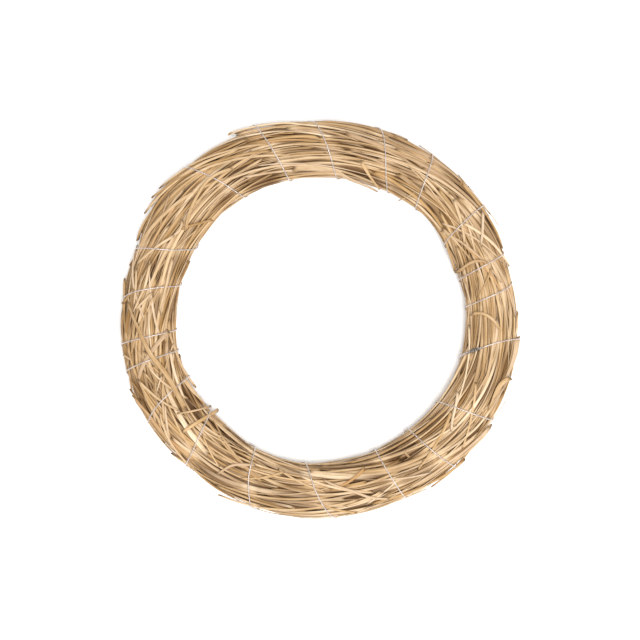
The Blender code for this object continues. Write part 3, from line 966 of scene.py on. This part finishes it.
def add_piece(name, data, replaced, material):
    piece = bpy.data.objects.new(name, data)
    bpy.context.scene.collection.objects.link(piece)
    data.materials.append(material)
    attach(piece, "root")
    if replaced:
        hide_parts(*replaced)


def smoothed(values, times=2):
    for _ in range(times):
        inner = (values[:-2] + 2 * values[1:-1] + values[2:]) / 4
        values = np.concatenate([values[:1], inner, values[-1:]])
    return values


def stalk_line(stalks, row, rng):
    count = stalks.count[row]
    clock = stalks.clock[row, :count]
    reach, height = smoothed(stalks.reach[row, :count]), smoothed(stalks.height[row, :count])
    around, _ = section_place(clock, reach, height)
    looks = Looks(stalks.kind[row], stalks.radius[row], rng)
    looks.tone += from_table(TONE_DRIFT, clock.mean())
    return ring_point(clock, reach, height), outward(clock, around), looks


def make_handfuls(stalks, straw, rng):
    for turn in range(TURNS):
        rows = np.nonzero(stalks.handful == turn)[0]
        name = f"stalks_of_handful_{turn + 1:02d}"
        mesh = stalks_mesh(name, [stalk_line(stalks, row, rng) for row in rows])
        add_piece(name, mesh, [HANDFULS[turn]], straw)


class Surface:
    """The straw's surface as laid, which the wire and the stray straws lie on."""

    def __init__(self, stalks):
        rows, columns = np.nonzero(stalks.there)
        station = stalks.station[rows, columns]
        order = np.argsort(station, kind="stable")
        self.starts = np.searchsorted(station[order], np.arange(STATIONS + 1))
        self.reach = stalks.reach[rows, columns][order]
        self.height = stalks.height[rows, columns][order]
        self.radius = stalks.radius[rows][order]
        self.hulls = {}
        self.laid = {}

    def at(self, station):
        station = station % STATIONS
        part = slice(self.starts[station], self.starts[station + 1])
        columns = self.reach[part], self.height[part], self.radius[part]
        if station not in self.laid:
            return columns
        return tuple(np.append(a, b) for a, b in zip(columns, zip(*self.laid[station])))

    def support(self, clock, reach, radius):
        """The height of the middle of a stray straw that rests on the stalks at a place."""
        highest = -np.inf
        for station in (math.floor(clock / STATION_STEP), math.ceil(clock / STATION_STEP)):
            reaches, heights, sizes = self.at(station)
            apart = (sizes + radius) * STALK_GIVE
            beside = apart**2 - (reaches - reach) ** 2
            on_top = heights + np.sqrt(np.maximum(beside, 0))
            highest = max(highest, np.where(beside > 0, on_top, 0).max())
        return highest

    def add(self, clock, reach, height, radius):
        """Adds a stray straw to what the next ones rest on."""
        order = np.argsort(clock)
        clock, reach, height = clock[order], reach[order], height[order]
        for station in range(math.ceil(clock[0] / STATION_STEP), math.floor(clock[-1] / STATION_STEP) + 1):
            place = station * STATION_STEP
            self.laid.setdefault(station % STATIONS, []).append(
                (np.interp(place, clock, reach), np.interp(place, clock, height), radius)
            )

    def taut(self, clock, radius):
        """A ring of wire pulled tight round the section, as (reach, height) for each of TAUT_DIRECTIONS."""
        low = math.floor(clock / STATION_STEP)
        share = clock / STATION_STEP - low
        return self.hull(low, radius) * (1 - share) + self.hull(low + 1, radius) * share

    def hull(self, station, radius):
        """The taut ring at one station, from how far the stalks reach in each direction."""
        if (station % STATIONS, radius) not in self.hulls:
            reach, height, size = self.at(station)
            across, up = np.cos(TAUT_DIRECTIONS)[:, None], np.sin(TAUT_DIRECTIONS)[:, None]
            support = (reach * across + height * up + size * STALK_GIVE).max(1) + radius
            for _ in range(HULL_SMOOTHING):
                support = (np.roll(support, 1) + 2 * support + np.roll(support, -1)) / 4
            step = TAUT_DIRECTIONS[1] - TAUT_DIRECTIONS[0]
            slope = (np.roll(support, -1) - np.roll(support, 1)) / (2 * step)
            across, up = across[:, 0], up[:, 0]
            places = np.stack([support * across - slope * up, support * up + slope * across], -1)
            places[:, 1] = np.maximum(places[:, 1], radius)
            self.hulls[station % STATIONS, radius] = places
        return self.hulls[station % STATIONS, radius]


def wire_turn(surface, turn, start, finish, radius):
    """The middle of the wire on one turn, from one place round the section to another."""
    line = []
    for around in np.linspace(start, finish, max(3, round((finish - start) / WIRE_STEP))):
        lap, place = divmod(around, 360)
        number = turn + int(lap)
        clock = wire_clocks(place)[number % TURNS] + number // TURNS * 360
        ring = surface.taut(clock, radius)
        places, _ = section_place(clock, ring[:, 0], ring[:, 1])
        order = np.argsort(places)
        reach = np.interp(place, places[order], ring[order, 0], period=360)
        height = np.interp(place, places[order], ring[order, 1], period=360)
        line.append(ring_point(clock, reach, height))
    return np.array(line)


def twisted_end(surface, phase):
    """One of the wire's two ends, twisted round the other on the front of the last turn."""
    middle = wire_turn(surface, TURNS - 1, SPLICE_START, SPLICE_END, WIRE_RADIUS + SPLICE_SPREAD)
    share = np.linspace(0, 1, SPLICE_TURNS * SPLICE_POINTS_PER_TURN + 1)
    middle = np.stack([np.interp(share, np.linspace(0, 1, len(middle)), axis) for axis in middle.T], -1)
    along = unit(np.gradient(middle, axis=0))
    side = unit(np.cross(along, (0, 0, 1)))
    raised = np.cross(side, along)
    turn = (phase + 2 * np.pi * SPLICE_TURNS * share)[:, None]
    spread = SPLICE_SPREAD + KNOT_SPREAD * np.exp(-(((share - KNOT_PLACE) / KNOT_LENGTH) ** 2))
    return middle + (side * np.cos(turn) + raised * (np.sin(turn) + SPLICE_LIFT)) * spread[:, None]


def wire_line(surface):
    start = SPLICE_END + SPLICE_RUN_OUT - 360
    finish = (TURNS - 1) * 360 + SPLICE_START - SPLICE_RUN_OUT
    winding = wire_turn(surface, 0, start, finish, WIRE_RADIUS)
    return np.concatenate([twisted_end(surface, 0), winding, twisted_end(surface, np.pi)])


def make_wire(surface):
    line = wire_line(surface)
    knot = line[round(KNOT_PLACE * SPLICE_TURNS * SPLICE_POINTS_PER_TURN)] * MM
    curve = bpy.data.curves.new("wound_wire", "CURVE")
    curve.dimensions = "3D"
    curve.bevel_depth = WIRE_RADIUS * MM
    curve.bevel_resolution = 2
    curve.use_fill_caps = True
    spline = curve.splines.new("POLY")
    spline.points.add(len(line) - 1)
    spline.points.foreach_set("co", np.concatenate([line * MM, np.ones((len(line), 1))], 1).ravel())
    add_piece("wound_wire", curve, ["binding_wire"], wire_finish(knot))


# ---------------------------------------------------------------- stray straws


def stray_line(surface, places, radius, lift):
    """A stray straw's middle, as it lies on the straw under it, from (clock angle, reach) pairs."""
    clocks, reaches = np.array(places, float).T
    steps = np.append(0, np.cumsum(np.hypot(np.radians(np.diff(clocks)) * USUAL_REACH, np.diff(reaches))))
    count = max(4, round(steps[-1] / STRAY_STEP))
    along = np.linspace(0, steps[-1], count + 1)
    clock = smoothed(np.interp(along, steps, clocks), 4)
    reach = smoothed(np.interp(along, steps, reaches), 4)
    support = np.array([surface.support(c, r, radius) for c, r in zip(clock, reach)])
    reached = np.copy(support)
    reached[1:] = np.maximum(reached[1:], support[:-1])
    reached[:-1] = np.maximum(reached[:-1], support[1:])
    level = smoothed(np.concatenate([reached[:1], reached[:1], reached, reached[-1:], reached[-1:]]), 4)[2:-2]
    height = (level + smoothed(support, 3)) / 2 + lift
    return clock, reach, height


def lay_stray(surface, places, radius, kind, lift, rng):
    clock, reach, height = stray_line(surface, places, radius, lift)
    surface.add(clock, reach, height, radius)
    around, _ = section_place(clock, reach, height)
    return ring_point(clock, reach, height), outward(clock, around), Looks(kind, radius, rng)


def make_strays(surface, straw, rng, over_wire):
    """Either the stray straws that lie over the wire or all the others."""
    for number, (places, radius, kind) in enumerate(STRAYS, start=1):
        if (number in STRAYS_OVER_WIRE) != over_wire:
            continue
        name, node = f"stray_straw_{number:02d}", f"loose_straw_{number:02d}"
        line = lay_stray(surface, places, radius, kind, OVER_WIRE if over_wire else -BEDDED, rng)
        add_piece(name, stalks_mesh(name, [line]), [node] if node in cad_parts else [], straw)


def make_crossing_straws(surface, straw, rng):
    """Short stalks that lie across the others, most of them where the straw is least orderly."""
    lines = []
    clocks = np.arange(360)
    weights = np.maximum(from_table(DISORDER, clocks) - ORDERLY, LEAST_CHANCE)
    for _ in range(CROSSING_STRAWS):
        clock = rng.choice(clocks, p=weights / weights.sum())
        share = rng.uniform(*CROSSING_PLACES)
        middle = at_clock(MIDDLE_RADIUS, clock) + share * at_clock(HALF_WIDTH, clock)
        slant = math.radians(rng.choice([-1, 1]) * rng.uniform(*CROSSING_SLANT))
        half = rng.uniform(*CROSSING_HALF_LENGTH)
        ahead, inward = half * math.cos(slant), half * math.sin(slant)
        sweep = math.degrees(ahead / middle)
        bow = rng.uniform(*CROSSING_BOW)
        limit = at_clock(HALF_WIDTH, clock) * CROSSING_LIMIT
        ends = np.clip([share * limit + inward, share * limit + bow, share * limit - inward], -limit, limit)
        reaches = at_clock(MIDDLE_RADIUS, clock) + ends
        places = list(zip((clock - sweep, clock, clock + sweep), reaches))
        kind = rng.choice([CULM, BLADE])
        radius = rng.uniform(*CROSSING_RADIUS)
        lines.append(lay_stray(surface, places, radius, kind, -CROSSING_BEDDED, rng))
    add_piece("crossing_straws", stalks_mesh("crossing_straws", lines), [], straw)


# ---------------------------------------------------------------- table, light and camera


def make_stage():
    shape = bmesh.new()
    bmesh.ops.create_grid(shape, x_segments=1, y_segments=1, size=3)
    mesh = bpy.data.meshes.new("table")
    shape.to_mesh(mesh)
    shape.free()
    f = Finish("white_table")
    mesh.materials.append(f.surface({"Base Color": (0.97, 0.97, 0.97, 1), "Roughness": 0.9}))
    table = bpy.data.objects.new("table", mesh)
    bpy.context.scene.collection.objects.link(table)


def add_softbox(name, place, size, power):
    light = bpy.data.lights.new(name, "AREA")
    light.shape = "DISK"
    light.size = size
    light.energy = power
    lamp = bpy.data.objects.new(name, light)
    lamp.location = place
    lamp.rotation_euler = (-Vector(place)).to_track_quat("-Z", "Y").to_euler()
    bpy.context.scene.collection.objects.link(lamp)


VIEW_WIDTH = 480


def light_and_camera():
    world = bpy.data.worlds.new("studio")
    world.use_nodes = True
    background = world.node_tree.nodes["Background"]
    background.inputs["Color"].default_value = (1, 1, 1, 1)
    background.inputs["Strength"].default_value = 0.66
    bpy.context.scene.world = world
    add_softbox("overhead", (0.12, -0.12, 1.9), 0.7, 29)
    add_softbox("key", (0.55, -0.85, 1.5), 0.45, 13)
    camera_data = bpy.data.cameras.new("above")
    camera_data.lens = 85
    camera_data.sensor_width = 36
    camera = bpy.data.objects.new("above", camera_data)
    distance = VIEW_WIDTH * MM * camera_data.lens / camera_data.sensor_width
    camera.location = (0, 0, distance + MIDDLE_HEIGHT * MM)
    bpy.context.scene.collection.objects.link(camera)
    bpy.context.scene.camera = camera
    bpy.context.scene.view_settings.view_transform = "Standard"


make_stage()
light_and_camera()
stalks = lay_all(rng)
pack(stalks)
straw = straw_finish("dry_straw")
make_handfuls(stalks, straw, rng)
surface = Surface(stalks)
make_crossing_straws(surface, straw, rng)
make_strays(surface, straw, rng, False)
make_wire(surface)
make_strays(surface, straw, rng, True)
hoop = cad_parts["core_hoop"]
hoop.data.materials.clear()
hoop.data.materials.append(hoop_finish())
